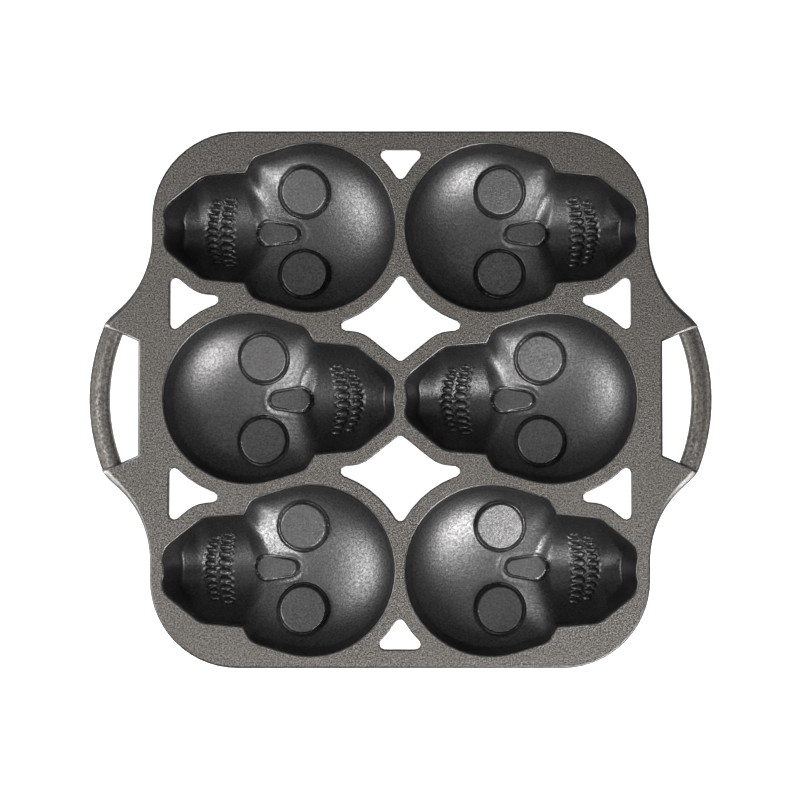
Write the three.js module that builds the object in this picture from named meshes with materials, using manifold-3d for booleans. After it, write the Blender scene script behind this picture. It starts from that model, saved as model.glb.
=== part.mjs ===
// A cast iron cake pan: six skull cups hang below one flat deck, and a bar handle crosses each end.
// Millimetres, +Z up, +X from handle to handle. The flat feet of the cups stand on z = 0.

import * as THREE from "three";
import { LoftGeometry } from "three/addons/geometries/LoftGeometry.js";
import { mergeVertices } from "three/addons/utils/BufferGeometryUtils.js";
import Module from "manifold-3d";

const wasm = await Module();
wasm.setup();

// Skull outline, in its own frame: u runs from chin to crown, v across, with the origin at mid length
const skullLength = 145.2;
const craniumRadius = 52.9;
const templeTurn = 107; // degrees of the crown's arc on each side, before the straight temple
const cheekWidth = 88.2; // across the corners of the cheekbones
const cheekCornerLength = 4.2;
const notchWidth = 69.2; // across the notches under the cheekbones
const notchFromChin = 50.9;
const jawWidth = 64.4; // across the corners of the jaw
const jawCornerFromChin = 24;
const jawCornerLength = 3.5;
const chinWidth = 26; // where the two bevels of the jaw reach the chin's end
const chinFlat = 15;
const chinDip = 1.1;

// Skull form below the deck
const cavityDepth = 34.5; // from the top of the deck to the deepest point
const craniumBend = 80; // radius of the dish that the cranium's floor makes
const jawBend = 44; // radius of the jaw's floor across the skull
const jawSlope = 0.12; // rise over run of the jaw's floor towards the chin
const jawFloorFromChin = 52.6; // where that rise starts
const cheekSlant = 0.28; // how the edge under a cheekbone leans towards the crown on its way in
const cheekBlend = 9; // width of the step from the jaw's floor to the cheek's
const craniumWall = 2.1; // rise over run of the wall round the cranium
const jawWall = 4.5;
const wallFillet = 9; // depth over which a wall runs into the floor
const wall = 3.6;
const floorWall = 6.5;
const footDip = 2.5; // how much of each belly the flat foot takes off
const bellyPower = 4; // how squarely the floor's thickness gives way to the wall's
const middleFromCrown = 67.7; // of the point that the rings of a cup close on

// Raised pads in each cup
const eyeSpacing = 53.2;
const eyeFromCrown = 59.6;
const eyeTopRadius = 14.6;
const eyeFootRadius = 16.8;
const eyeTopDepth = 25.5;
const eyeHeight = 8;
const eyeTilt = 10; // degrees, towards the middle of the skull
const noseLength = 25.3;
const noseFromCrown = 64.2;
const noseWideRadius = 6.9;
const noseNarrowRadius = 4.6;
const noseTopDepth = 31;
const noseHeight = 6;

// Teeth: an upper and a lower row of low pads, from the middle outwards on each side
const upperToothFromChin = 35;
const upperToothLength = 9.3;
const upperToothWidth = 5.4;
const upperToothNarrowing = 0.83; // of each tooth against the one before it
const lowerToothFromChin = 25.1;
const lowerToothLength = 7;
const lowerToothWidth = 4.1;
const lowerToothNarrowing = 0.96;
const teethPerSide = 5;
const toothGap = 0.6;
const toothBowRadius = 77; // of a row, whose ends curve towards the nose
const toothHeight = 2.2;
const toothSink = 3;
const toothFlare = 1.15; // of a tooth's foot against its top

// Deck and windows
const deckThickness = 5;
const deckMargin = 8.5; // iron between a cup's rim and the deck's edge
const deckCornerRadius = 55.6;
const cupClearance = 0.4; // between the walls of two cups that face each other
const rowClearance = 2.2; // between the walls of cups in neighbouring rows
const cupLand = 10; // iron between a cup's rim and a window
const edgeLand = 11.8; // iron between the deck's edge and a window
const windowRadius = 3.2;

// Handles
const handleReach = 39.4; // from the deck's side to the outside of the bar
const gripRadius = 123; // of the bar's outer arc, seen from above
const gripWidth = 12.6;
const gripHeight = 10.5;
const gripDrop = 1.2; // of the bar's top under the deck's
const gripRoundness = 2.5;
const fingerGap = 81.6; // along the inside of the bar
const fingerGapRoot = 72; // along the straight edge of the deck
const fingerGapOffset = 8; // of that straight edge from the deck's side
const flankStart = 102.7; // from the middle of the pan to where a handle starts to flare out
const flankRadius = 62;
const flankTurn = 49.4; // degrees
const rootTurn = 5; // degrees that the bar runs on under each ear
const gripSeam = 0.3;

// Faceting
const deckArcSteps = 14;
const deckCornerSteps = 3;
const cupArcSteps = 9;
const cupCornerSteps = 2;
const padSteps = 14;
const gripSteps = 10;
const gripSides = 12;
const cavityRings = [0, 0.3, 0.55, 0.72, 0.84, 0.93, 1]; // share of the way from the middle to the rim
const bellyRings = [1, 0.95, 0.8, 0.5, 0.28, 0];

const radians = THREE.MathUtils.degToRad;
const deckTop = cavityDepth + floorWall;
const deckUnderside = deckTop - deckThickness;
const crownTip = skullLength / 2;
const chinEnd = -skullLength / 2;
const craniumCentre = crownTip - craniumRadius;
const templePoint = new THREE.Vector2(
  craniumCentre + craniumRadius * Math.cos(radians(templeTurn)),
  craniumRadius * Math.sin(radians(templeTurn)),
);
const templeSlope = 1 / Math.tan(radians(templeTurn));
const cheekCorner = new THREE.Vector2(
  templePoint.x + (templePoint.y - cheekWidth / 2) / templeSlope,
  cheekWidth / 2,
);
const notch = new THREE.Vector2(chinEnd + notchFromChin, notchWidth / 2);
const jawCorner = new THREE.Vector2(chinEnd + jawCornerFromChin, jawWidth / 2);
const chinCorner = new THREE.Vector2(chinEnd, chinWidth / 2);

const cupPitchX = skullLength + 2 * wall + cupClearance;
const cranialPitch = 2 * (craniumRadius + wall) + rowClearance;
const cupPitchY = Math.sqrt(cranialPitch ** 2 - (2 * craniumCentre) ** 2);
const deckHalfLength = cupPitchX / 2 + skullLength / 2 + deckMargin;
const deckHalfWidth = cupPitchY + craniumRadius + deckMargin;

// Cups by place. turned is true where the crown points to -X.
const cupPlaces = [
  { name: "skull_cup_back_left", x: -cupPitchX / 2, y: cupPitchY, turned: false },
  { name: "skull_cup_back_right", x: cupPitchX / 2, y: cupPitchY, turned: true },
  { name: "skull_cup_middle_left", x: -cupPitchX / 2, y: 0, turned: true },
  { name: "skull_cup_middle_right", x: cupPitchX / 2, y: 0, turned: false },
  { name: "skull_cup_front_left", x: -cupPitchX / 2, y: -cupPitchY, turned: false },
  { name: "skull_cup_front_right", x: cupPitchX / 2, y: -cupPitchY, turned: true },
];

// Solids and cuts
function solid(geometry) {
  const bare = new THREE.BufferGeometry().copy(geometry);
  bare.deleteAttribute("normal");
  bare.deleteAttribute("uv");
  const merged = mergeVertices(bare, 1e-4);
  const index = merged.index.array;
  const triangles = [];
  for (let i = 0; i < index.length; i += 3) {
    const [a, b, c] = index.slice(i, i + 3);
    if (a !== b && b !== c && c !== a) triangles.push(a, b, c);
  }
  const vertProperties = new Float32Array(merged.attributes.position.array);
  const triVerts = new Uint32Array(triangles);
  return new wasm.Manifold(new wasm.Mesh({ numProp: 3, vertProperties, triVerts }));
}

function geometryOf(body) {
  const mesh = body.getMesh();
  const geometry = new THREE.BufferGeometry();
  geometry.setAttribute("position", new THREE.BufferAttribute(mesh.vertProperties, 3));
  geometry.setIndex(new THREE.BufferAttribute(mesh.triVerts, 1));
  geometry.computeVertexNormals();
  return geometry;
}

function prism(points, bottom, top, holes = []) {
  const shape = new THREE.Shape(THREE.ShapeUtils.isClockWise(points) ? points.toReversed() : points);
  shape.holes = holes.map((hole) => new THREE.Path(hole));
  const geometry = new THREE.ExtrudeGeometry(shape, { depth: top - bottom, bevelEnabled: false });
  return geometry.translate(0, 0, bottom);
}

// Outlines
function towards(from, to, distance) {
  return to.clone().sub(from).setLength(distance).add(from);
}

function lineMeet(p, d, q, e) {
  const t = q.clone().sub(p).cross(e) / d.cross(e);
  return p.clone().addScaledVector(d, t);
}

function samplePath(path, arcSteps, cornerSteps) {
  const points = [];
  for (const curve of path.curves) {
    const steps = curve.isEllipseCurve ? arcSteps : curve.isLineCurve ? 1 : cornerSteps;
    points.push(...curve.getPoints(steps).slice(points.length ? 1 : 0));
  }
  return points;
}

function mirrored(points, sx, sy) {
  const copy = points.map((p) => new THREE.Vector2(p.x * sx, p.y * sy));
  return sx * sy < 0 ? copy.reverse() : copy;
}

function skullOutline(arcSteps, cornerSteps) {
  const half = new THREE.Path();
  half.moveTo(crownTip, 0);
  half.absarc(craniumCentre, 0, craniumRadius, 0, radians(templeTurn), false);
  const cheekStart = towards(cheekCorner, templePoint, cheekCornerLength);
  const cheekEnd = towards(cheekCorner, notch, cheekCornerLength);
  const jawStart = towards(jawCorner, notch, jawCornerLength);
  const jawEnd = towards(jawCorner, chinCorner, jawCornerLength);
  const chinStart = towards(chinCorner, jawCorner, (chinWidth - chinFlat) / 2);
  half.lineTo(cheekStart.x, cheekStart.y);
  half.quadraticCurveTo(cheekCorner.x, cheekCorner.y, cheekEnd.x, cheekEnd.y);
  half.lineTo(notch.x, notch.y);
  half.lineTo(jawStart.x, jawStart.y);
  half.quadraticCurveTo(jawCorner.x, jawCorner.y, jawEnd.x, jawEnd.y);
  half.lineTo(chinStart.x, chinStart.y);
  half.quadraticCurveTo(chinCorner.x, chinCorner.y, chinEnd, chinFlat / 2);
  half.quadraticCurveTo(chinEnd + chinDip, chinFlat / 4, chinEnd + chinDip, 0);
  const side = samplePath(half, arcSteps, cornerSteps);
  return [...side, ...mirrored(side, 1, -1).slice(1, -1)];
}

function normalsOf(points) {
  return points.map((p, i) => {
    const next = points[(i + 1) % points.length];
    return new THREE.Vector2(next.y - p.y, p.x - next.x).normalize();
  });
}

// Moves a closed outline outwards, with its corners mitred
function grown(points, distance) {
  const normals = normalsOf(points);
  return points.map((p, i) => {
    const before = normals[(i + points.length - 1) % points.length];
    const middle = before.clone().add(normals[i]).normalize();
    return p.clone().addScaledVector(middle, distance / middle.dot(normals[i]));
  });
}

function placedOutline(place, arcSteps, cornerSteps) {
  const turn = place.turned ? -1 : 1;
  const points = skullOutline(arcSteps, cornerSteps);
  return points.map((p) => new THREE.Vector2(place.x + turn * p.x, place.y + turn * p.y));
}

// Bounds of a window: a cup's rim, or a straight edge of the deck
function rimBound(place) {
  return { points: placedOutline(place, deckArcSteps, deckCornerSteps), inset: cupLand, side: 1 };
}

function edgeBound(from, to) {
  const beside = to.clone().sub(from).rotateAround(new THREE.Vector2(), Math.PI / 2).add(from);
  return { points: [from, to, beside], inset: edgeLand, side: -1 };
}

// Where two bounds leave room for the corner arc of a window, as near the window's middle as possible
function cornerBetween(a, b, middle) {
  const pathA = grown(a.points, a.side * (a.inset + windowRadius));
  const pathB = grown(b.points, b.side * (b.inset + windowRadius));
  let best = null;
  pathA.forEach((p, i) => {
    const d = pathA[(i + 1) % pathA.length].clone().sub(p);
    pathB.forEach((q, j) => {
      const e = pathB[(j + 1) % pathB.length].clone().sub(q);
      const turn = d.cross(e);
      const offset = q.clone().sub(p);
      const s = offset.cross(e) / turn;
      const t = offset.cross(d) / turn;
      if (!(s >= 0 && s <= 1 && t >= 0 && t <= 1)) return;
      const centre = p.clone().addScaledVector(d, s);
      if (!best || centre.distanceTo(middle) < best.centre.distanceTo(middle)) best = { centre, i, j };
    });
  });
  return best;
}

// The outline of a window whose sides follow its bounds, in order, joined by corner arcs
function windowOutline(bounds, middle) {
  const following = (k) => bounds[(k + 1) % bounds.length];
  const corners = bounds.map((bound, k) => cornerBetween(bound, following(k), middle));
  const outline = [];
  bounds.forEach((bound, k) => {
    const from = corners[(k + bounds.length - 1) % bounds.length].j;
    const to = corners[k].i;
    const count = bound.points.length;
    const edge = grown(bound.points, bound.side * bound.inset);
    const forward = (to - from + count) % count;
    const backward = (from - to + count) % count;
    if (forward <= backward) {
      for (let n = 1; n <= forward; n++) outline.push(edge[(from + n) % count]);
    } else {
      for (let n = 0; n < backward; n++) outline.push(edge[(from - n + count) % count]);
    }
    const start = normalsOf(bound.points)[to].multiplyScalar(-bound.side).angle();
    const end = normalsOf(following(k).points)[corners[k].j].multiplyScalar(-following(k).side).angle();
    const sweep = THREE.MathUtils.euclideanModulo(end - start + Math.PI, 2 * Math.PI) - Math.PI;
    const { x, y } = corners[k].centre;
    const arc = new THREE.EllipseCurve(x, y, windowRadius, windowRadius, start, start + sweep, sweep < 0);
    outline.push(...arc.getPoints(deckCornerSteps));
  });
  return outline;
}

function deckWindows() {
  const [backLeft, backRight, middleLeft, middleRight] = cupPlaces.map(rimBound);
  const backEdge = edgeBound(
    new THREE.Vector2(deckHalfLength, deckHalfWidth),
    new THREE.Vector2(-deckHalfLength, deckHalfWidth),
  );
  const leftEdge = edgeBound(
    new THREE.Vector2(-deckHalfLength, deckHalfWidth),
    new THREE.Vector2(-deckHalfLength, -deckHalfWidth),
  );
  const rowMiddle = new THREE.Vector2(0, cupPitchY / 2);
  const backMiddle = new THREE.Vector2(0, deckHalfWidth - edgeLand - 2 * windowRadius);
  const sideMiddle = new THREE.Vector2(-deckHalfLength + edgeLand + 2 * windowRadius, cupPitchY / 2);
  const star = windowOutline([backLeft, backRight, middleRight, middleLeft], rowMiddle);
  const backTriangle = windowOutline([backEdge, backRight, backLeft], backMiddle);
  const sideTriangle = windowOutline([leftEdge, backLeft, middleLeft], sideMiddle);
  return [
    ...[1, -1].map((sy) => mirrored(star, 1, sy)),
    ...[1, -1].map((sy) => mirrored(backTriangle, 1, sy)),
    ...[1, -1].flatMap((sx) => [1, -1].map((sy) => mirrored(sideTriangle, sx, sy))),
  ];
}

// Handle layout, on the +X side
const gripCentreX = deckHalfLength + handleReach - gripRadius;
const gripInnerRadius = gripRadius - gripWidth;
const gripTurn = Math.asin(fingerGap / 2 / gripInnerRadius);

function gripPoint(radius, angle) {
  return new THREE.Vector2(gripCentreX + radius * Math.cos(angle), radius * Math.sin(angle));
}

// A quarter of the deck's edge, from its corner to the handle's ear
function quarterPath() {
  const path = new THREE.Path();
  const cornerX = deckHalfLength - deckCornerRadius;
  const cornerY = deckHalfWidth - deckCornerRadius;
  path.moveTo(cornerX, deckHalfWidth);
  path.absarc(cornerX, cornerY, deckCornerRadius, Math.PI / 2, 0, true);
  path.lineTo(deckHalfLength, flankStart);
  const flankEnd = Math.PI + radians(flankTurn);
  path.absarc(deckHalfLength + flankRadius, flankStart, flankRadius, Math.PI, flankEnd, false);
  const flankTip = path.currentPoint.clone();
  const earEnd = gripPoint(gripRadius, gripTurn);
  const flankAlong = new THREE.Vector2(-Math.sin(flankEnd), Math.cos(flankEnd));
  const earAlong = new THREE.Vector2(-Math.sin(gripTurn), Math.cos(gripTurn));
  const earCorner = lineMeet(flankTip, flankAlong, earEnd, earAlong);
  path.quadraticCurveTo(earCorner.x, earCorner.y, earEnd.x, earEnd.y);
  return path;
}

function allRound(quarter) {
  const right = [...quarter, ...mirrored(quarter, 1, -1)];
  const all = [...right, ...mirrored(right, -1, 1)];
  return all.filter((p, i) => p.distanceTo(all[(i + 1) % all.length]) > 1e-6);
}

function deckOutline() {
  const path = quarterPath();
  const gapCorner = gripPoint(gripInnerRadius, gripTurn);
  path.lineTo(gapCorner.x, gapCorner.y);
  path.lineTo(deckHalfLength + fingerGapOffset, fingerGapRoot / 2);
  return allRound(samplePath(path, deckArcSteps, deckCornerSteps));
}

// The deck's edge with the finger gaps and bars filled in
function silhouette() {
  const path = quarterPath();
  path.absarc(gripCentreX, 0, gripRadius, gripTurn, 0, true);
  return allRound(samplePath(path, deckArcSteps, deckCornerSteps));
}

// Depth of a cup's bowl under the deck
const cupRim = skullOutline(cupArcSteps, cupCornerSteps);

function rimDistance(point) {
  const distances = cupRim.map((from, i) => {
    const along = cupRim[(i + 1) % cupRim.length].clone().sub(from);
    const share = point.clone().sub(from).dot(along) / along.lengthSq();
    return from.clone().addScaledVector(along, THREE.MathUtils.clamp(share, 0, 1)).distanceTo(point);
  });
  return Math.min(...distances);
}

// The smaller of two depths, with the corner between them rounded
function blendedMin(a, b, width) {
  const share = THREE.MathUtils.clamp(0.5 + (b - a) / (2 * width), 0, 1);
  return THREE.MathUtils.lerp(b, a, share) - width * share * (1 - share);
}

function bowlDepth(u, v) {
  const { lerp, smoothstep } = THREE.MathUtils;
  const crownward = Math.max(0, u - craniumCentre);
  const chinward = Math.max(0, chinEnd + jawFloorFromChin - u);
  const cranium = (crownward ** 2 + v ** 2) / (2 * craniumBend);
  const jaw = jawSlope * chinward + v ** 2 / (2 * jawBend);
  const cheekEdge = notch.x + (notch.y - Math.abs(v)) * cheekSlant;
  const onFace = smoothstep(u - cheekEdge, -cheekBlend / 2, cheekBlend / 2);
  const floor = cavityDepth - deckThickness - lerp(jaw, cranium, onFace);
  const rimWall = lerp(jawWall, craniumWall, onFace) * rimDistance(new THREE.Vector2(u, v));
  return blendedMin(floor, rimWall, wallFillet);
}

// Cup
function ring(outline, share, height) {
  const middle = new THREE.Vector2(crownTip - middleFromCrown, 0);
  return outline.map((p) => {
    const q = p.clone().sub(middle).multiplyScalar(share).add(middle);
    return new THREE.Vector3(q.x, q.y, height(q));
  });
}

function eyePad(side, topRadius, footRadius, topDepth, height) {
  const pad = new THREE.CylinderGeometry(topRadius, footRadius, height, padSteps);
  pad.translate(0, -height / 2, 0);
  pad.rotateX(Math.PI / 2 + side * radians(eyeTilt));
  return pad.translate(crownTip - eyeFromCrown, (side * eyeSpacing) / 2, deckTop - topDepth);
}

function nosePad() {
  const narrow = crownTip - noseFromCrown - noseNarrowRadius;
  const wide = crownTip - noseFromCrown - noseLength + noseWideRadius;
  const lean = Math.acos((noseWideRadius - noseNarrowRadius) / (narrow - wide));
  const shape = new THREE.Shape();
  shape.absarc(narrow, 0, noseNarrowRadius, -lean, lean, false);
  shape.absarc(wide, 0, noseWideRadius, lean, 2 * Math.PI - lean, false);
  const pad = new THREE.ExtrudeGeometry(shape, {
    depth: noseHeight,
    bevelEnabled: false,
    curveSegments: padSteps / 2,
  });
  return pad.translate(0, 0, deckTop - noseTopDepth - noseHeight);
}

function tooth(u, v, length, width) {
  const foot = Math.SQRT1_2; // of a square with sides of 1
  const pad = new THREE.CylinderGeometry(foot / toothFlare, foot, 1, 4);
  pad.rotateY(Math.PI / 4).rotateX(Math.PI / 2);
  pad.scale(length * toothFlare, width, toothHeight + toothSink);
  const floor = deckUnderside - bowlDepth(u, v);
  return pad.translate(u, v, floor + (toothHeight - toothSink) / 2);
}

function toothRow(fromChin, length, width, narrowing) {
  const teeth = [];
  let near = toothGap / 2;
  for (let i = 0; i < teethPerSide; i++) {
    const across = width * narrowing ** i;
    const v = near + across / 2;
    const u = chinEnd + fromChin + v ** 2 / (2 * toothBowRadius);
    teeth.push(tooth(u, v, length, across), tooth(u, -v, length, across));
    near += across + toothGap;
  }
  return teeth;
}

function cupGeometry() {
  const outside = grown(cupRim, wall);
  const inner = cavityRings.map((share) =>
    ring(cupRim, share, (q) => (share === 1 ? deckUnderside : deckUnderside - bowlDepth(q.x, q.y))),
  );
  const outer = bellyRings.map((share) => {
    const inside = ring(cupRim, share, (q) => bowlDepth(q.x, q.y));
    const belly = ring(outside, share, () => 0);
    const below = (floorWall + footDip) * (1 - share ** bellyPower);
    return belly.map((p, i) => {
      const drop = share === 1 ? 0 : inside[i].z + below;
      return p.setZ(Math.max(0, deckUnderside - drop));
    });
  });
  const sections = [...inner, ...outer].reverse();
  let cup = solid(new LoftGeometry(sections));
  for (const side of [1, -1]) {
    cup = cup.add(solid(eyePad(side, eyeTopRadius, eyeFootRadius, eyeTopDepth, eyeHeight)));
    const hollowTop = eyeTopRadius - wall;
    const hollowFoot = eyeFootRadius - wall / 2;
    const hollowDepth = eyeTopDepth + floorWall;
    cup = cup.subtract(solid(eyePad(side, hollowTop, hollowFoot, hollowDepth, deckTop - eyeTopDepth)));
  }
  const raised = [
    nosePad(),
    ...toothRow(upperToothFromChin, upperToothLength, upperToothWidth, upperToothNarrowing),
    ...toothRow(lowerToothFromChin, lowerToothLength, lowerToothWidth, lowerToothNarrowing),
  ];
  return geometryOf(wasm.Manifold.union([cup, ...raised.map(solid)]));
}

// Handle bar, on the +X side
function gripSweep(turn) {
  const middle = gripRadius - gripWidth / 2;
  const height = deckTop - gripDrop - gripHeight / 2;
  const sections = [];
  for (let i = 0; i <= gripSteps; i++) {
    const angle = THREE.MathUtils.lerp(-turn, turn, i / gripSteps);
    const section = [];
    for (let j = 0; j < gripSides; j++) {
      const around = (2 * Math.PI * j) / gripSides;
      const across = Math.sign(Math.cos(around)) * Math.abs(Math.cos(around)) ** (2 / gripRoundness);
      const up = Math.sign(Math.sin(around)) * Math.abs(Math.sin(around)) ** (2 / gripRoundness);
      const p = gripPoint(middle + (across * gripWidth) / 2, angle);
      section.push(new THREE.Vector3(p.x, p.y, height + (up * gripHeight) / 2));
    }
    sections.push(section.reverse());
  }
  return solid(new LoftGeometry(sections, { capStart: true, capEnd: true }));
}

function handleGeometry() {
  const bar = gripSweep(gripTurn - gripSeam / gripInnerRadius);
  const underDeck = solid(prism(silhouette(), 0, deckUnderside));
  const roots = gripSweep(gripTurn + radians(rootTurn)).intersect(underDeck);
  return geometryOf(bar.add(roots));
}

// Finishes
function iron(color, roughness) {
  return new THREE.MeshStandardMaterial({ color, roughness, metalness: 0.55 });
}

function part(name, geometry, material) {
  const mesh = new THREE.Mesh(geometry, material);
  mesh.name = name;
  return mesh;
}

const pan = new THREE.Group();
const skullHoles = cupPlaces.map((place) => placedOutline(place, deckArcSteps, deckCornerSteps));
const deck = prism(deckOutline(), deckUnderside, deckTop, [...skullHoles, ...deckWindows()]);
pan.add(part("deck_plate", deck, iron(0x6b6764, 0.55)));

const cupShape = cupGeometry();
for (const place of cupPlaces) {
  const cup = part(place.name, cupShape.clone(), iron(0x3a3838, 0.4));
  cup.position.set(place.x, place.y, 0);
  cup.rotation.z = place.turned ? Math.PI : 0;
  pan.add(cup);
}

const handleShape = handleGeometry();
for (const [name, turn] of [["handle_left", Math.PI], ["handle_right", 0]]) {
  const handle = part(name, handleShape.clone(), iron(0x5c5956, 0.5));
  handle.rotation.z = turn;
  pan.add(handle);
}

export default pan;
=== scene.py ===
import math

import bmesh
import bpy
import numpy as np
from mathutils import Matrix, Vector


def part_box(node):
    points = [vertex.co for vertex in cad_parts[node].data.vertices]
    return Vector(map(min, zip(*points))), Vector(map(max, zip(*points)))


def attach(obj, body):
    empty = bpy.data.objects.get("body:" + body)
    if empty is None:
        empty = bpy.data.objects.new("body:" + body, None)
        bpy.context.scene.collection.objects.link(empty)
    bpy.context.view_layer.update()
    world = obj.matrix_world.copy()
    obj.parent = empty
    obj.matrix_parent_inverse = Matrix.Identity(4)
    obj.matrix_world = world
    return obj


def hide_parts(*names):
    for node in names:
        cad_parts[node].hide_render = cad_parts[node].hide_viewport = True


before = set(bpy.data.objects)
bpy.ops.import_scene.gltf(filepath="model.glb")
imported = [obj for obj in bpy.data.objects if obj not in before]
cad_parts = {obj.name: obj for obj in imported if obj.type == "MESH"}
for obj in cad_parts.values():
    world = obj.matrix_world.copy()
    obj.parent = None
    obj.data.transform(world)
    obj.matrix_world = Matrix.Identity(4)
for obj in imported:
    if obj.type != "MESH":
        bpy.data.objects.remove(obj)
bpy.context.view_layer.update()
scene = bpy.context.scene
scene.view_settings.view_transform = "Standard"
milli = 0.001
weld = 1e-6  # points closer than this are one
tiny = 1e-9  # stands for zero under a division


def deselectAll():
    if bpy.context.object and bpy.context.object.mode != "OBJECT":
        bpy.ops.object.mode_set(mode="OBJECT")
    bpy.ops.object.select_all(action="DESELECT")


def pick(piece):
    deselectAll()
    piece.select_set(True)
    bpy.context.view_layer.objects.active = piece


def smooth(low, high, value):
    t = np.clip((value - low) / (high - low), 0, 1)
    return t * t * (3 - 2 * t)


def blendMin(a, b, width):
    h = np.clip(0.5 + 0.5 * (b - a) / width, 0, 1)
    return b + (a - b) * h - width * h * (1 - h)


# Materials: one grain shared by every iron, in four finishes; the edge iron carries painted shade and painted
# highlight

grainShape = {
    "fineDetail": 2, "fineRough": 0.6, "coarseDetail": 3, "coarseRough": 0.55,
    "patchDetail": 3, "patchRough": 0.6,
    "fineShare": 0.55, "speckLow": 0.6, "speckHigh": 0.96, "mottleLow": 0.38, "mottleHigh": 0.72,
}


def grainGroup():
    group = bpy.data.node_groups.new("castGrain", "ShaderNodeTree")
    face = group.interface
    for name in ("Fine", "Coarse", "Patch"):
        face.new_socket(name, in_out="INPUT", socket_type="NodeSocketFloat")
    for name in ("Height", "Speckle", "Mottle"):
        face.new_socket(name, in_out="OUTPUT", socket_type="NodeSocketFloat")
    nodes, links = group.nodes, group.links
    inside = nodes.new("NodeGroupInput")
    outside = nodes.new("NodeGroupOutput")
    place = nodes.new("ShaderNodeTexCoord")

    def noise(scaleName, detail, rough):
        tex = nodes.new("ShaderNodeTexNoise")
        tex.inputs["Detail"].default_value = detail
        tex.inputs["Roughness"].default_value = rough
        links.new(place.outputs["Object"], tex.inputs["Vector"])
        links.new(inside.outputs[scaleName], tex.inputs["Scale"])
        return tex.outputs["Fac"]

    fine = noise("Fine", grainShape["fineDetail"], grainShape["fineRough"])
    coarse = noise("Coarse", grainShape["coarseDetail"], grainShape["coarseRough"])
    patch = noise("Patch", grainShape["patchDetail"], grainShape["patchRough"])
    total = nodes.new("ShaderNodeMath")
    total.operation = "MULTIPLY_ADD"
    links.new(fine, total.inputs[0])
    total.inputs[1].default_value = grainShape["fineShare"]
    links.new(coarse, total.inputs[2])
    speck = nodes.new("ShaderNodeMapRange")
    speck.inputs["From Min"].default_value = grainShape["speckLow"]
    speck.inputs["From Max"].default_value = grainShape["speckHigh"]
    links.new(total.outputs[0], speck.inputs["Value"])
    links.new(total.outputs[0], outside.inputs["Height"])
    links.new(speck.outputs["Result"], outside.inputs["Speckle"])
    links.new(patch, outside.inputs["Mottle"])
    return group


castGrain = grainGroup()


def ironMaterial(name, look):
    material = bpy.data.materials.new(name)
    material.use_nodes = True
    nodes, links = material.node_tree.nodes, material.node_tree.links
    shader = nodes["Principled BSDF"]
    grain = nodes.new("ShaderNodeGroup")
    grain.node_tree = castGrain
    for socket in ("Fine", "Coarse", "Patch"):
        grain.inputs[socket].default_value = look[socket]

    def mix(a, b, factor):
        node = nodes.new("ShaderNodeMix")
        node.data_type = "RGBA"
        links.new(factor, node.inputs["Factor"])
        for socket, colour in ((node.inputs[6], a), (node.inputs[7], b)):  # 6, 7 and 2 carry colours
            if isinstance(colour, bpy.types.NodeSocket):
                links.new(colour, socket)
            else:
                socket.default_value = (*colour, 1)
        return node.outputs[2]

    def ranged(value, low, high, fromLow=0.0, fromHigh=1.0):
        node = nodes.new("ShaderNodeMapRange")
        links.new(value, node.inputs["Value"])
        node.inputs["From Min"].default_value = fromLow
        node.inputs["From Max"].default_value = fromHigh
        node.inputs["To Min"].default_value = low
        node.inputs["To Max"].default_value = high
        return node.outputs["Result"]

    speckled = mix(look["pit"], look["grain"], grain.outputs["Speckle"])
    patch = ranged(grain.outputs["Mottle"], 0, look["warmth"],
                   grainShape["mottleLow"], grainShape["mottleHigh"])
    colour = mix(speckled, look["warm"], patch)
    # Painted light: this attribute mixes in a colour, painted shade in the cups' jaws and a painted highlight
    # (partly wear) on the deck's edges
    if "paintedLightTint" in look:  # the piece's own attribute says where the iron is darker or worn
        paintedLightTint = nodes.new("ShaderNodeAttribute")
        paintedLightTint.attribute_name = "paintedLightTint"
        colour = mix(colour, look["paintedLightTint"], ranged(paintedLightTint.outputs["Fac"], 0, look["paintedLightShare"]))
    links.new(colour, shader.inputs["Base Color"])
    rough = ranged(grain.outputs["Speckle"], look["roughPit"], look["roughGrain"])
    links.new(rough, shader.inputs["Roughness"])
    shader.inputs["Metallic"].default_value = look["metal"]
    shader.inputs["Specular IOR Level"].default_value = look["specular"]
    bump = nodes.new("ShaderNodeBump")
    bump.inputs["Strength"].default_value = look["bump"]
    bump.inputs["Distance"].default_value = look["bumpHeight"]
    links.new(grain.outputs["Height"], bump.inputs["Height"])
    links.new(bump.outputs["Normal"], shader.inputs["Normal"])
    return material


deckLook = {
    "Fine": 2000, "Coarse": 950, "Patch": 24,
    "pit": (0.028, 0.0264, 0.0245), "grain": (0.235, 0.2233, 0.208),
    "warm": (0.115, 0.0965, 0.079), "warmth": 0.3,
    "roughPit": 0.62, "roughGrain": 0.46, "metal": 0.8, "specular": 0.5,
    "bump": 1.0, "bumpHeight": 0.0005,
}
# The cup's tint colour is painted shade: a near-black base laid over the jaw's hollow
cupLook = {
    "Fine": 1800, "Coarse": 700, "Patch": 20,
    "pit": (0.08, 0.0785, 0.0797), "grain": (0.19, 0.1867, 0.1878),
    "warm": (0.13, 0.124, 0.121), "warmth": 0.25,
    "roughPit": 0.46, "roughGrain": 0.39, "metal": 0.95, "specular": 0.5,
    "bump": 0.36, "bumpHeight": 0.0004, "paintedLightTint": (0.02, 0.0195, 0.02), "paintedLightShare": 0.45,
}
gripLook = {
    "Fine": 1700, "Coarse": 620, "Patch": 40,
    "pit": (0.055, 0.052, 0.048), "grain": (0.22, 0.209, 0.195),
    "warm": (0.13, 0.109, 0.09), "warmth": 0.3,
    "roughPit": 0.55, "roughGrain": 0.43, "metal": 0.85, "specular": 0.5,
    "bump": 0.5, "bumpHeight": 0.0005,
}
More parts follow.
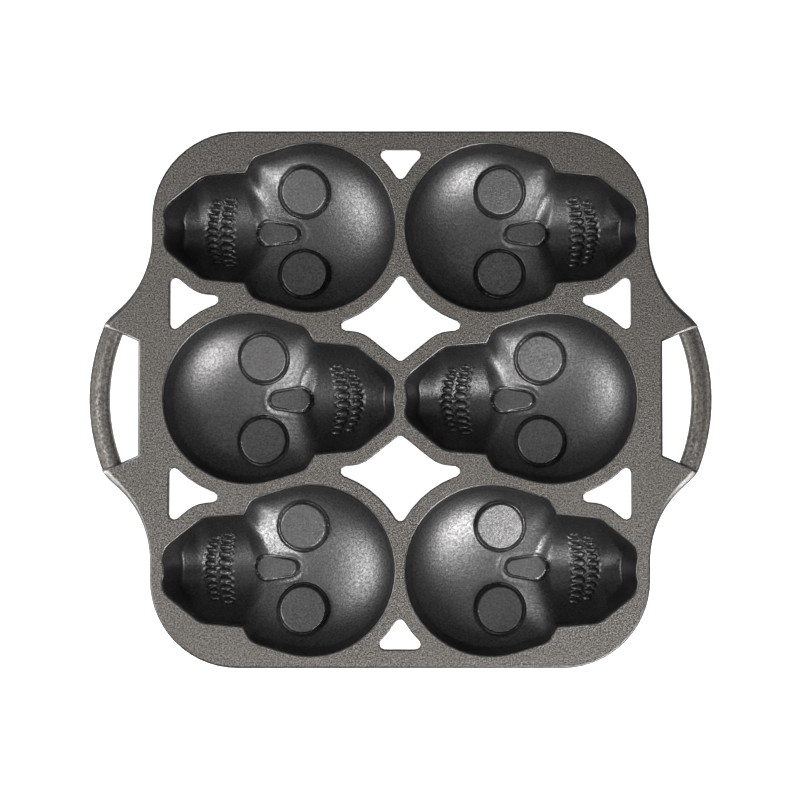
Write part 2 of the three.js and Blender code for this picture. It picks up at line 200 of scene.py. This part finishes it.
# Rounded edges: a darker copy of the cup iron, painted shade along every edge, lightened by the tint into a
# painted highlight (partly wear), little on every edge and most on the slopes beside the handles
edgeShadeSheenLook = {
    **cupLook,
    "pit": (0.045, 0.044, 0.0445), "grain": (0.11, 0.108, 0.1085), "warm": (0.075, 0.0715, 0.07),
    "roughPit": 0.38, "roughGrain": 0.33, "paintedLightTint": (0.23, 0.226, 0.222), "paintedLightShare": 0.9,
}
deckIron = ironMaterial("deckIron", deckLook)
edgeShadeSheenIron = ironMaterial("edgeShadeSheenIron", edgeShadeSheenLook)
cupIron = ironMaterial("cupIron", cupLook)
gripIron = ironMaterial("gripIron", gripLook)
print("materials: deckIron, edgeShadeSheenIron, cupIron, gripIron")


# Deck: the CAD plate with its edges rounded, most of all beside the handles

deckShape = {
    "rimRound": 1.5 * milli,
    "windowRound": 0.8 * milli,
    "edgeRound": 1.4 * milli,
    "underRound": 0.7 * milli,
    "earRound": 4.1 * milli,
    "earReach": 55 * milli,
    "earTipIn": 4 * milli,  # from the end of the handle back to the tip of the ear
    "wearAndHighlightReach": 46 * milli,
    "wearAndHighlight": 0.1,
    "flankFrom": (0, 0.076, 0.29, 0.62, 1),  # drop of each row of the round, as a share of its size
    "flankTo": (0, 0.1, 0.22, 0.34, 0.55),  # and what it becomes beside the handles
    "flankLow": 1.02,  # a drop past this share is below the round
    "flankLean": 0.05,
    "steps": 4,
    "flat": 0.02 * milli,
    "merge": 0.002 * milli,
    "cupSpan": 145.2 * milli,  # length of a cup's opening
    "spanSlack": 4 * milli,
    "sharpAngle": math.radians(60),
    "flatAngle": math.radians(0.5),
    "wallTilt": 0.5,
    "normalWeight": 100,
}
deckIrons = (deckIron, edgeShadeSheenIron, cupIron)


def isWall(face):
    return abs(face.normal.z) < deckShape["wallTilt"]


def fromEar(x, y, earTip):
    return np.hypot(np.abs(x) - earTip.x, np.abs(y) - earTip.y)


def earShare(place, earTip):
    return float(smooth(deckShape["earReach"], 0, fromEar(place.x, place.y, earTip)))


# The sharp edges at one height, gathered into closed loops
def edgeLoops(mesh, height):
    edges = [e for e in mesh.edges if all(abs(v.co.z - height) < deckShape["flat"] for v in e.verts)]
    edges = [e for e in edges if e.calc_face_angle(0) > deckShape["sharpAngle"]]
    left = set(edges)
    loops = []
    while left:
        loop = []
        front = [left.pop()]
        while front:
            edge = front.pop()
            loop.append(edge)
            for vert in edge.verts:
                for other in vert.link_edges:
                    if other in left:
                        left.remove(other)
                        front.append(other)
        loops.append(loop)
    return loops


def loopSpan(loop):
    xs = [v.co.x for e in loop for v in e.verts]
    return max(xs) - min(xs)


# Rounding the edges leaves ragged flat faces, so each flat is taken out and filled again
def refillFlat(piece, height, facing):
    pick(piece)
    bpy.ops.object.mode_set(mode="EDIT")
    bpy.ops.mesh.select_mode(type="VERT")
    bpy.ops.mesh.select_all(action="DESELECT")
    bpy.ops.object.mode_set(mode="OBJECT")
    mesh = piece.data
    for vert in mesh.vertices:
        vert.select = abs(vert.co.z - height) < deckShape["flat"]
    bpy.ops.object.mode_set(mode="EDIT")
    bpy.ops.mesh.delete(type="ONLY_FACE")
    bpy.ops.mesh.select_all(action="DESELECT")
    bpy.ops.mesh.select_mode(type="EDGE")
    bpy.ops.mesh.select_non_manifold(extend=False, use_boundary=False, use_multi_face=False,
                                     use_non_contiguous=False, use_verts=False)
    bpy.ops.mesh.delete(type="EDGE")
    bpy.ops.mesh.select_non_manifold(extend=False, use_wire=False, use_multi_face=False,
                                     use_non_contiguous=False, use_verts=False)
    bpy.ops.mesh.fill(use_beauty=True)
    bpy.ops.object.mode_set(mode="OBJECT")
    for face in mesh.polygons:
        if all(abs(mesh.vertices[v].co.z - height) < deckShape["flat"] for v in face.vertices):
            face.material_index = deckIrons.index(deckIron)
            if face.normal.z * facing < 0:
                face.flip()
    mesh.update()


# Beside the handles the round becomes a long, shallow slope
def easeFlanks(mesh, top, earTip):
    widest = deckShape["earRound"]
    for vert in mesh.vertices:
        drop = (top - vert.co.z) / widest
        if drop < deckShape["flankLow"]:
            eased = float(np.interp(drop, deckShape["flankFrom"], deckShape["flankTo"]))
            vert.co.z -= widest * earShare(vert.co, earTip) * (eased - drop)


# Painted highlight, partly standing for worn iron: the edge colour is lighter on every edge a little, the
# slopes beside the handles most
def wearAndHighlightFlanks(mesh, earTip):
    places = np.array([vert.co[:] for vert in mesh.vertices])
    away = fromEar(places[:, 0], places[:, 1], earTip)
    paintedLightTint = mesh.attributes.new("paintedLightTint", "FLOAT", "POINT")
    wearAndHighlight = deckShape["wearAndHighlight"] + (1 - deckShape["wearAndHighlight"]) * smooth(deckShape["wearAndHighlightReach"], 0, away)
    paintedLightTint.data.foreach_set("value", wearAndHighlight.astype(np.float32))


def buildDeck():
    low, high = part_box("deck_plate")
    earTip = Vector((high[0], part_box("handle_right")[1][1] - deckShape["earTipIn"]))
    piece = bpy.data.objects.new("deckPlate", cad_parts["deck_plate"].data.copy())
    scene.collection.objects.link(piece)
    piece.data.materials.clear()
    for material in deckIrons:
        piece.data.materials.append(material)
    pick(piece)
    bpy.ops.object.mode_set(mode="EDIT")
    bpy.ops.mesh.select_all(action="SELECT")
    bpy.ops.mesh.remove_doubles(threshold=deckShape["merge"])
    bpy.ops.mesh.dissolve_limited(angle_limit=deckShape["flatAngle"])
    bpy.ops.object.mode_set(mode="OBJECT")
    mesh = bmesh.new()
    mesh.from_mesh(piece.data)
    weight = mesh.edges.layers.float.new("bevel_weight_edge")
    widest = deckShape["earRound"]
    for height, top in ((high[2], True), (low[2], False)):
        for loop in edgeLoops(mesh, height):
            span = loopSpan(loop)
            rim = abs(span - deckShape["cupSpan"]) < deckShape["spanSlack"]
            outer = span > 2 * deckShape["cupSpan"]
            for edge in loop:
                size = deckShape["windowRound"] if top else deckShape["underRound"]
                if rim:
                    size = deckShape["rimRound"] if top else 0
                    for face in filter(isWall, edge.link_faces):
                        face.material_index = deckIrons.index(cupIron)
                if outer and top:
                    middle = (edge.verts[0].co + edge.verts[1].co) / 2
                    wall = next(filter(isWall, edge.link_faces)).normal
                    flank = wall.y * math.copysign(1, middle.y) > deckShape["flankLean"]
                    near = earShare(middle, earTip) if flank else 0
                    size = deckShape["edgeRound"] + near * (widest - deckShape["edgeRound"])
                edge[weight] = size / widest
    mesh.to_mesh(piece.data)
    mesh.free()
    bevel = piece.modifiers.new("edgeRounds", "BEVEL")
    bevel.limit_method = "WEIGHT"
    bevel.width = widest
    bevel.segments = deckShape["steps"]
    bevel.use_clamp_overlap = False
    bevel.loop_slide = False
    # The rounds take the edge iron: painted shade along the edges, with a painted highlight beside the
    # handles
    bevel.material = deckIrons.index(edgeShadeSheenIron)
    pick(piece)
    bpy.ops.object.modifier_apply(modifier=bevel.name)
    easeFlanks(piece.data, high[2], earTip)
    refillFlat(piece, high[2], 1)
    refillFlat(piece, low[2], -1)
    wearAndHighlightFlanks(piece.data, earTip)
    bpy.ops.object.shade_smooth_by_angle(angle=deckShape["sharpAngle"])
    level = piece.modifiers.new("flatNormals", "WEIGHTED_NORMAL")
    level.mode = "FACE_AREA"
    level.weight = deckShape["normalWeight"]
    level.keep_sharp = True
    bpy.ops.object.modifier_apply(modifier=level.name)
    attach(piece, "root")
    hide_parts("deck_plate")
    return piece


deckPlate = buildDeck()
print("deck:", len(deckPlate.data.polygons), "faces")


# A lofted skin: a grid wrapped round rows of points, closed at both ends

def loftPiece(name, rows, material, sharp):
    count, around = rows.shape[:2]
    deselectAll()
    bpy.ops.mesh.primitive_grid_add(x_subdivisions=around, y_subdivisions=count - 1, size=1)
    piece = bpy.context.object
    piece.name = name
    wrapped = np.concatenate([rows, rows[:, :1]], axis=1).reshape(-1, 3)
    piece.data.vertices.foreach_set("co", wrapped.astype(np.float32).ravel())
    piece.data.update()
    bpy.ops.object.mode_set(mode="EDIT")
    bpy.ops.mesh.select_all(action="SELECT")
    bpy.ops.mesh.remove_doubles(threshold=weld)
    bpy.ops.mesh.normals_make_consistent(inside=False)
    bpy.ops.object.mode_set(mode="OBJECT")
    piece.data.materials.append(material)
    bpy.ops.object.shade_smooth_by_angle(angle=math.radians(sharp))
    return piece


# Skull cups, in millimetres: u runs from chin to crown, v across, and depth down from the deck's top

skull = {
    "length": 145.2, "craniumRadius": 52.9, "templeTurn": 107, "cheekWidth": 88.2, "cheekRound": 4.2,
    "notchWidth": 69.2, "notchFromChin": 50.9, "jawWidth": 64.4, "jawFromChin": 24, "jawRound": 3.5,
    "chinWidth": 26, "chinFlat": 15, "chinDip": 1.1,
    "wall": 3.6, "deckThickness": 5, "rimStepCrown": 1.2, "rimStepJaw": 0.8, "poleFromCrown": 48.6,
}
bowl = {
    "depth": 34.5, "faceRise": 0.13, "faceStart": 12, "crownSpan": 53, "crownCurve": 2.2,
    "jawDepth": 35.5, "jawSlope": 0.06, "jawStart": -20, "jawCurve": 0.8, "jawNarrow": 27,
    "chinSpan": 6, "chinCurve": 2.5, "cheekLean": 0.28, "cheekWidth": 12, "wallSteep": 4.5, "wallFillet": 3,
    "floorWall": 6.5, "footDip": 2.5, "footFade": 4, "easePasses": 34, "easeFrom": 10, "easeEdge": 12,
}
eyePads = {
    "u": 13, "v": 26.6, "topRadius": 14.1, "footRadius": 15.6, "topDepth": 25.5, "tilt": 0.2, "lean": 0.04,
    "moat": 1.8, "moatRadius": 17.1, "moatSide": 1.0, "hollowFoot": 0.6, "hollowTop": 3.4, "hollowWall": 5,
}
nosePad = {
    "wideU": -10.0, "narrowU": 3.8, "wideRadius": 6.8, "narrowRadius": 4.5, "topDepth": 31, "ring": 1.2,
    "moat": 1.1, "moatReach": 2.4, "moatSide": 0.9, "brow": 0.3, "browAway": 5.0, "browWidth": 1.6,
}
teeth = {
    "perSide": 5, "gap": 0.7, "bowRadius": 44, "height": 1.1, "groove": 0.8, "grooveReach": 1.6,
    "square": 2.3, "dome": 2.2,
    "rows": ({"u": -42.6, "length": 8.3, "shorter": 0.94, "width": 4.9, "narrowing": 0.87, "taper": 0.22},
             {"u": -44.1, "length": -6.9, "shorter": 0.96, "width": 3.9, "narrowing": 0.93, "taper": -0.1}),
}
cupMesh = {
    "floorRows": 58, "floorShare": 0.56, "toothRows": 45, "toothShare": 0.82,
    "wallRows": 24, "wallCrowding": 1.7, "skirtRows": 9, "skirtShare": 0.8, "underRows": 20, "sharp": 60,
}


def lineOf(a, b, step):
    count = max(1, math.ceil(np.linalg.norm(b - a) / step))
    return [a + (b - a) * i / count for i in range(1, count + 1)]


def bendOf(a, corner, b, step):
    count = max(3, math.ceil(np.linalg.norm(b - a) / step))
    shares = [i / count for i in range(1, count + 1)]
    return [a * (1 - t) ** 2 + corner * 2 * t * (1 - t) + b * t * t for t in shares]


def towards(a, b, distance):
    return a + (b - a) * distance / np.linalg.norm(b - a)


# One half of the rim from crown to chin, then its mirror image
def skullRim():
    s = skull
    crown, chin = s["length"] / 2, -s["length"] / 2
    centre = crown - s["craniumRadius"]
    turn = math.radians(s["templeTurn"])
    temple = np.array((centre + s["craniumRadius"] * math.cos(turn), s["craniumRadius"] * math.sin(turn)))
    cheekY = s["cheekWidth"] / 2
    cheek = np.array((temple[0] + (temple[1] - cheekY) * math.tan(turn), cheekY))
    notch = np.array((chin + s["notchFromChin"], s["notchWidth"] / 2))
    jaw = np.array((chin + s["jawFromChin"], s["jawWidth"] / 2))
    corner = np.array((chin, s["chinWidth"] / 2))
    chinSide = np.array((chin, s["chinFlat"] / 2))
    chinMiddle = np.array((chin + s["chinDip"], 0.0))
    chinControl = np.array((chin + s["chinDip"], s["chinFlat"] / 4))
    wide, close = s["rimStepCrown"], s["rimStepJaw"]
    count = math.ceil(s["craniumRadius"] * turn / wide)
    half = [np.array((centre + s["craniumRadius"] * math.cos(turn * i / count),
                      s["craniumRadius"] * math.sin(turn * i / count))) for i in range(count + 1)]
    half += lineOf(half[-1], towards(cheek, temple, s["cheekRound"]), wide)
    half += bendOf(half[-1], cheek, towards(cheek, notch, s["cheekRound"]), close)
    half += lineOf(half[-1], notch, close)
    half += lineOf(notch, towards(jaw, notch, s["jawRound"]), close)
    half += bendOf(half[-1], jaw, towards(jaw, corner, s["jawRound"]), close)
    half += lineOf(half[-1], towards(corner, jaw, (s["chinWidth"] - s["chinFlat"]) / 2), close)
    half += bendOf(half[-1], corner, chinSide, close)
    half += bendOf(chinSide, chinControl, chinMiddle, close)
    half = np.array(half)
    return np.concatenate([half, half[-2:0:-1] * (1, -1)])


def grown(rim, distance):
    along = np.roll(rim, -1, axis=0) - rim
    normal = np.stack([along[:, 1], -along[:, 0]], axis=1) / np.linalg.norm(along, axis=1)[:, None]
    middle = normal + np.roll(normal, 1, axis=0)
    middle /= np.linalg.norm(middle, axis=1)[:, None]
    return rim + middle * (distance / (middle * normal).sum(axis=1))[:, None]


def rimDistance(points, rim):
    along = np.roll(rim, -1, axis=0) - rim
    length = (along ** 2).sum(axis=1)
    away = points[:, None] - rim[None]
    share = np.clip((away * along[None]).sum(axis=2) / length, 0, 1)
    return np.sqrt(((away - share[..., None] * along[None]) ** 2).sum(axis=2)).min(axis=1)


# 1 on the face and crown, 0 on the jaw, with a soft change along the cheekbones
def onFace(u, v):
    notchU = skull["notchFromChin"] - skull["length"] / 2
    cheekLine = notchU + (skull["notchWidth"] / 2 - np.abs(v)) * bowl["cheekLean"]
    return smooth(-bowl["cheekWidth"] / 2, bowl["cheekWidth"] / 2, u - cheekLine)


def bowlDepth(u, v, inset, rim):
    b = bowl
    deck = skull["deckThickness"]
    chinU = -skull["length"] / 2
    notchU = chinU + skull["notchFromChin"]
    across = np.abs(v)
    rest = np.clip(1 - inset / b["crownSpan"], 0, 1)
    face = b["depth"] - deck - b["faceRise"] * np.maximum(b["faceStart"] - u, 0)
    face = face * (1 - rest ** b["crownCurve"]) ** (1 / b["crownCurve"])
    jawRim = rim[(rim[:, 1] >= 0) & (rim[:, 0] <= notchU)]
    jawRim = jawRim[np.argsort(jawRim[:, 0])]
    half = np.maximum(np.interp(u, jawRim[:, 0], jawRim[:, 1]), b["jawNarrow"])
    side = np.clip(across / half, 0, 1)
    end = np.clip(1 - (u - chinU) / b["chinSpan"], 0, 1)
    jaw = b["jawDepth"] - deck - b["jawSlope"] * np.maximum(b["jawStart"] - u, 0)
    jaw = jaw * (1 - side ** 2) ** b["jawCurve"]
    jaw = jaw * (1 - end ** b["chinCurve"]) ** (1 / b["chinCurve"])
    inner = blendMin(jaw + (face - jaw) * onFace(u, v), b["wallSteep"] * inset, b["wallFillet"])
    return deck + np.maximum(inner, 0)


def padded(depth, u, v):
    e, n = eyePads, nosePad
    across = np.abs(v)
    away = np.hypot(u - e["u"], across - e["v"])
    top = e["topDepth"] + e["tilt"] * (e["v"] - across) + e["lean"] * (e["u"] - u)
    depth = depth + e["moat"] * smooth(e["moatRadius"], e["moatRadius"] - e["moatSide"], away)
    depth = depth + (top - depth) * smooth(e["footRadius"], e["topRadius"], away)
    share = np.clip((u - n["wideU"]) / (n["narrowU"] - n["wideU"]), 0, 1)
    spine = n["wideU"] + (n["narrowU"] - n["wideU"]) * share
    radius = n["wideRadius"] + (n["narrowRadius"] - n["wideRadius"]) * share
    gap = np.hypot(u - spine, v) - radius
    brow = n["brow"] * smooth(n["wideU"], n["narrowU"] + n["narrowRadius"], u)
    depth = depth + brow * np.exp(-((gap - n["browAway"]) / n["browWidth"]) ** 2)
    depth = depth + n["moat"] * smooth(n["moatReach"], n["moatReach"] - n["moatSide"], gap)
    return depth + (n["topDepth"] - depth) * smooth(n["ring"], 0, gap)


def toothed(depth, u, v):
    t = teeth
    across = np.abs(v)
    rise = np.zeros_like(u)
    band = np.zeros_like(u)
    for row in t["rows"]:
        near = t["gap"] / 2
        for i in range(t["perSide"]):
            width = row["width"] * row["narrowing"] ** i
            middle = near + width / 2
            length = row["length"] * row["shorter"] ** i
            bite = row["u"] + middle ** 2 / (2 * t["bowRadius"])
            along = (u - bite - length / 2) / (length / 2)
            beside = (across - middle) / (width / 2 * (1 - row["taper"] * np.clip(along, -1, 1)))
            outward = (np.abs(along) ** t["square"] + np.abs(beside) ** t["square"]) ** (1 / t["square"])
            rise = np.maximum(rise, np.clip(1 - outward ** t["dome"], 0, 1) ** 0.5)
            band = np.maximum(band, smooth(t["grooveReach"], 1, outward))
            near += width + t["gap"]
    return depth + t["groove"] * band - (t["groove"] + t["height"]) * rise


# Distance in from the rim on a grid of 1 mm, eased until no ridge is left along the middle
def insetField(rim):
    edge = bowl["easeEdge"]
    low = np.floor(rim.min(axis=0)) - edge
    count = (np.ceil(rim.max(axis=0)) + edge - low).astype(int) + 1
    steps = np.meshgrid(np.arange(count[0]), np.arange(count[1]), indexing="ij")
    across = np.stack(steps, axis=-1).reshape(-1, 2) + low
    ahead = np.roll(rim, -1, axis=0)
    crossed = (rim[None, :, 1] > across[:, None, 1]) != (ahead[None, :, 1] > across[:, None, 1])
    rise = np.where(np.abs(ahead[:, 1] - rim[:, 1]) < tiny, tiny, ahead[:, 1] - rim[:, 1])
    meets = rim[None, :, 0] + (across[:, None, 1] - rim[None, :, 1]) * (ahead[:, 0] - rim[:, 0]) / rise
    inside = (crossed & (across[:, None, 0] < meets)).sum(axis=1) % 2 == 1
    field = np.where(inside, 1, -1) * rimDistance(across, rim)
    field = field.reshape(count)
    for _ in range(bowl["easePasses"]):
        for axis in (0, 1):
            wide = np.pad(field, [(1, 1) if i == axis else (0, 0) for i in (0, 1)], mode="edge")
            field = (np.roll(wide, 1, axis=axis) + 2 * wide + np.roll(wide, -1, axis=axis)) / 4
            field = np.take(field, range(1, field.shape[axis] - 1), axis=axis)
    return low, field


# Weights of the four grid lines around a place, for a smooth curve through them
def cubicShares(t):
    return (-t / 2 + t ** 2 - t ** 3 / 2, 1 - 2.5 * t ** 2 + 1.5 * t ** 3,
            t / 2 + 2 * t ** 2 - 1.5 * t ** 3, -t ** 2 / 2 + t ** 3 / 2)


def easedInset(points, rim, low, field):
    exact = rimDistance(points, rim)
    cell = np.floor(points - low).astype(int)
    part = points - low - cell
    acrossU, acrossV = cubicShares(part[:, 0]), cubicShares(part[:, 1])
    soft = sum(acrossU[i] * acrossV[j] * field[cell[:, 0] + i - 1, cell[:, 1] + j - 1]
               for i in range(4) for j in range(4))
    return exact + (soft - exact) * smooth(0, bowl["easeFrom"], exact)


# Rings of points from a pole on the floor out to the rim, then back under the cup
def skullRows(deckTop):
    m = cupMesh
    rim = skullRim()
    outside = grown(rim, skull["wall"])
    pole = np.array((skull["length"] / 2 - skull["poleFromCrown"], 0.0))
    wallPart = (1 - m["toothShare"]) * np.linspace(1, 0, m["wallRows"])[1:] ** m["wallCrowding"]
    shares = np.concatenate([np.linspace(0, m["floorShare"], m["floorRows"]),
                             np.linspace(m["floorShare"], m["toothShare"], m["toothRows"])[1:], 1 - wallPart])
    underShares = np.concatenate([np.linspace(1, m["skirtShare"], m["skirtRows"]),
                                  np.linspace(m["skirtShare"], 0, m["underRows"])[1:]])
    low, field = insetField(rim)
    rows = []

    def plainDepth(flat, share):
        inset = easedInset(flat, rim, low, field) if share < 1 else np.zeros(len(rim))
        return bowlDepth(flat[:, 0], flat[:, 1], inset, rim)

    for share in shares:
        flat = pole + (rim - pole) * share
        u, v = flat[:, 0], flat[:, 1]
        depth = toothed(padded(plainDepth(flat, share), u, v), u, v)
        rows.append(np.column_stack([flat, deckTop - depth]))
    for share in underShares:
        flat = pole + (outside - pole) * share
        depth = plainDepth(pole + (rim - pole) * share, share)
        depth = depth + (bowl["floorWall"] + bowl["footDip"]) * (1 - share ** bowl["footFade"])
        away = np.hypot(flat[:, 0] - eyePads["u"], np.abs(flat[:, 1]) - eyePads["v"])
        hollow = smooth(eyePads["footRadius"] - eyePads["hollowFoot"],
                        eyePads["topRadius"] - eyePads["hollowTop"], away)
        height = np.maximum(0, deckTop - depth)
        ceiling = deckTop - eyePads["topDepth"] - eyePads["hollowWall"]
        height = height + np.maximum(ceiling - height, 0) * hollow
        rows.append(np.column_stack([flat, height]))
    return np.array(rows) * milli


def buildCups():
    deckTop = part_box("deck_plate")[1][2] / milli
    first = loftPiece("skullCup", skullRows(deckTop), cupIron, cupMesh["sharp"])
    places = np.empty(len(first.data.vertices) * 3, dtype=np.float32)
    first.data.vertices.foreach_get("co", places)
    places = places.reshape(-1, 3) / milli
    # Painted shade: the jaw, where the face share falls to 0, takes the darker tint colour
    paintedLightTint = first.data.attributes.new("paintedLightTint", "FLOAT", "POINT")
    paintedLightTint.data.foreach_set("value", (1 - onFace(places[:, 0], places[:, 1])).astype(np.float32))
    reach = (skull["length"] / 2 + skull["wall"]) * milli
    cups = []
    for row in ("back", "middle", "front"):
        for side in ("left", "right"):
            node = f"skull_cup_{row}_{side}"
            low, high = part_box(node)
            crownRight = (side == "left") != (row == "middle")
            x = high[0] - reach if crownRight else low[0] + reach
            place = Matrix.Translation((x, (low[1] + high[1]) / 2, 0))
            if not crownRight:
                place = place @ Matrix.Rotation(math.pi, 4, "Z")
            piece = bpy.data.objects.new(f"skullCup{row.title()}{side.title()}", first.data.copy())
            scene.collection.objects.link(piece)
            piece.data.transform(place)
            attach(piece, "root")
            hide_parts(node)
            cups.append(piece)
    bpy.data.objects.remove(first)
    return cups


skullCups = buildCups()
print("cups:", len(skullCups), "of", len(skullCups[0].data.polygons), "faces")


# Handles: a rounded bar between the ears, with a root under each ear

grip = {
    "radius": 123, "width": 12.6, "height": 10.5, "turn": 21.69, "overlap": 0.012,
    "rootTurn": 3.5, "rootSize": 0.7, "rootIn": 3, "roundness": 2.8,
    "outerDrop": 2.4, "dropFrom": -0.1, "dropTop": 0.5, "parting": 0.5, "partingTurn": 0.16,
    "sides": 40, "steps": 56, "sharp": 50,
}


# Sections along the arched bar: each end goes down to the ear's underside and on beneath it as a root
def gripRows(outerX, top, underside):
    g = grip
    centreX = outerX - g["radius"]
    middle = g["radius"] - g["width"] / 2
    around = np.linspace(0, 2 * math.pi, g["sides"], endpoint=False)
    across = np.sign(np.cos(around)) * np.abs(np.cos(around)) ** (2 / g["roundness"]) * g["width"] / 2
    turned = np.minimum(around, 2 * math.pi - around)
    across = across + g["parting"] * np.exp(-(turned / g["partingTurn"]) ** 2)
    up = np.sign(np.sin(around)) * np.abs(np.sin(around)) ** (2 / g["roundness"]) * g["height"] / 2
    outer = smooth(g["dropFrom"], 1, across / g["width"] * 2)
    up = up - g["outerDrop"] * outer * smooth(0, g["dropTop"], np.sin(around))
    end = math.radians(g["turn"]) + g["overlap"]
    far = math.radians(g["turn"] + g["rootTurn"])
    stations = [(-far, 0, True), (-far, 1, True), (-end, 1, True), (-end, 1, False)]
    stations += [(angle, 1, False) for angle in np.linspace(-end, end, g["steps"])[1:-1]]
    stations += [(end, 1, False), (end, 1, True), (far, 1, True), (far, 0, True)]
    rows = []
    for angle, size, root in stations:
        height = top - g["height"] / 2 + up * size
        if root:
            height = np.minimum(height, underside)
        reach = middle + across * size
        if root:
            reach = middle - g["rootIn"] + across * size * g["rootSize"]
        rows.append(np.column_stack([centreX + reach * math.cos(angle), reach * math.sin(angle), height]))
    rows[0][:] = rows[0].mean(axis=0)
    rows[-1][:] = rows[-1].mean(axis=0)
    return np.array(rows) * milli


def buildHandles():
    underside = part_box("deck_plate")[0][2] / milli
    handles = []
    for side in ("left", "right"):
        node = f"handle_{side}"
        low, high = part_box(node)
        rows = gripRows(high[0] / milli if side == "right" else -low[0] / milli, high[2] / milli, underside)
        piece = loftPiece(f"handle{side.title()}", rows, gripIron, grip["sharp"])
        if side == "left":
            piece.data.transform(Matrix.Rotation(math.pi, 4, "Z"))
        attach(piece, "root")
        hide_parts(node)
        handles.append(piece)
    return handles


handles = buildHandles()
print("handles:", len(handles), "of", len(handles[0].data.polygons), "faces")


# Stage: white floor, soft boxes and the camera over the pan

stage = {
    "floorSize": 60, "floorDrop": 0.0002, "floorColour": 0.8, "floorRough": 0.9, "floorGlow": 0.97,
    "worldLevel": 0.012,
    "deckTop": 0.041, "cameraX": 0.041, "cameraY": -0.0395, "cameraHeight": 1.1,
    "middleX": -0.00015, "middleY": -0.0011, "frameWidth": 0.5043, "sensor": 36,
}
softBoxes = (
    {"name": "frontRightBox", "at": (0.457, -0.678, 0.777), "size": 0.55, "power": 16},
    {"name": "leftBox", "at": (-0.929, -0.164, 0.861), "size": 0.7, "power": 14.4},
    {"name": "backBox", "at": (0.2, 0.6, 1.08), "size": 0.8, "power": 1.25},
)


def buildStage():
    deselectAll()
    bpy.ops.mesh.primitive_plane_add(size=stage["floorSize"], location=(0, 0, -stage["floorDrop"]))
    floor = bpy.context.object
    floor.name = "floor"
    material = bpy.data.materials.new("floorWhite")
    material.use_nodes = True
    nodes, links = material.node_tree.nodes, material.node_tree.links
    shader = nodes["Principled BSDF"]
    shader.inputs["Base Color"].default_value = (*[stage["floorColour"]] * 3, 1)
    shader.inputs["Roughness"].default_value = stage["floorRough"]
    shader.inputs["Emission Color"].default_value = (1, 1, 1, 1)
    rays = nodes.new("ShaderNodeLightPath")  # the floor glows to the camera and in reflections
    seen = None
    for ray in ("Is Camera Ray", "Is Glossy Ray", "Is Transmission Ray"):
        node = nodes.new("ShaderNodeMath")
        node.operation = "MAXIMUM"
        links.new(rays.outputs[ray], node.inputs[0])
        if seen:
            links.new(seen.outputs[0], node.inputs[1])
        seen = node
    glow = nodes.new("ShaderNodeMath")
    glow.operation = "MULTIPLY"
    links.new(seen.outputs[0], glow.inputs[0])
    glow.inputs[1].default_value = stage["floorGlow"]
    links.new(glow.outputs[0], shader.inputs["Emission Strength"])
    floor.data.materials.append(material)

    world = bpy.data.worlds.new("studio")
    scene.world = world
    world.use_nodes = True
    back = world.node_tree.nodes["Background"]
    back.inputs["Color"].default_value = (1, 1, 1, 1)
    back.inputs["Strength"].default_value = stage["worldLevel"]

    target = Vector((0, 0, stage["deckTop"]))
    for box in softBoxes:
        lamp = bpy.data.lights.new(box["name"], "AREA")
        lamp.shape = "SQUARE"
        lamp.size = box["size"]
        lamp.energy = box["power"]
        holder = bpy.data.objects.new(box["name"], lamp)
        scene.collection.objects.link(holder)
        holder.location = box["at"]
        holder.rotation_euler = (Vector(box["at"]) - target).to_track_quat("Z", "Y").to_euler()


def buildCamera():
    camera = bpy.data.cameras.new("photoCamera")
    holder = bpy.data.objects.new("photoCamera", camera)
    scene.collection.objects.link(holder)
    place = Vector((stage["cameraX"], stage["cameraY"], stage["deckTop"] + stage["cameraHeight"]))
    aim = Vector((stage["cameraX"], stage["middleY"], stage["deckTop"]))
    back = (place - aim).normalized()
    right = Vector((0, 1, 0)).cross(back).normalized()
    up = back.cross(right)
    holder.matrix_world = Matrix.Translation(place) @ Matrix((right, up, back)).transposed().to_4x4()
    camera.sensor_fit = "HORIZONTAL"
    camera.sensor_width = stage["sensor"]
    camera.lens = stage["sensor"] * (place - aim).length / stage["frameWidth"]
    camera.shift_x = (stage["middleX"] - stage["cameraX"]) / stage["frameWidth"]
    scene.camera = holder


buildStage()
buildCamera()
print("stage: floor, soft boxes, camera")
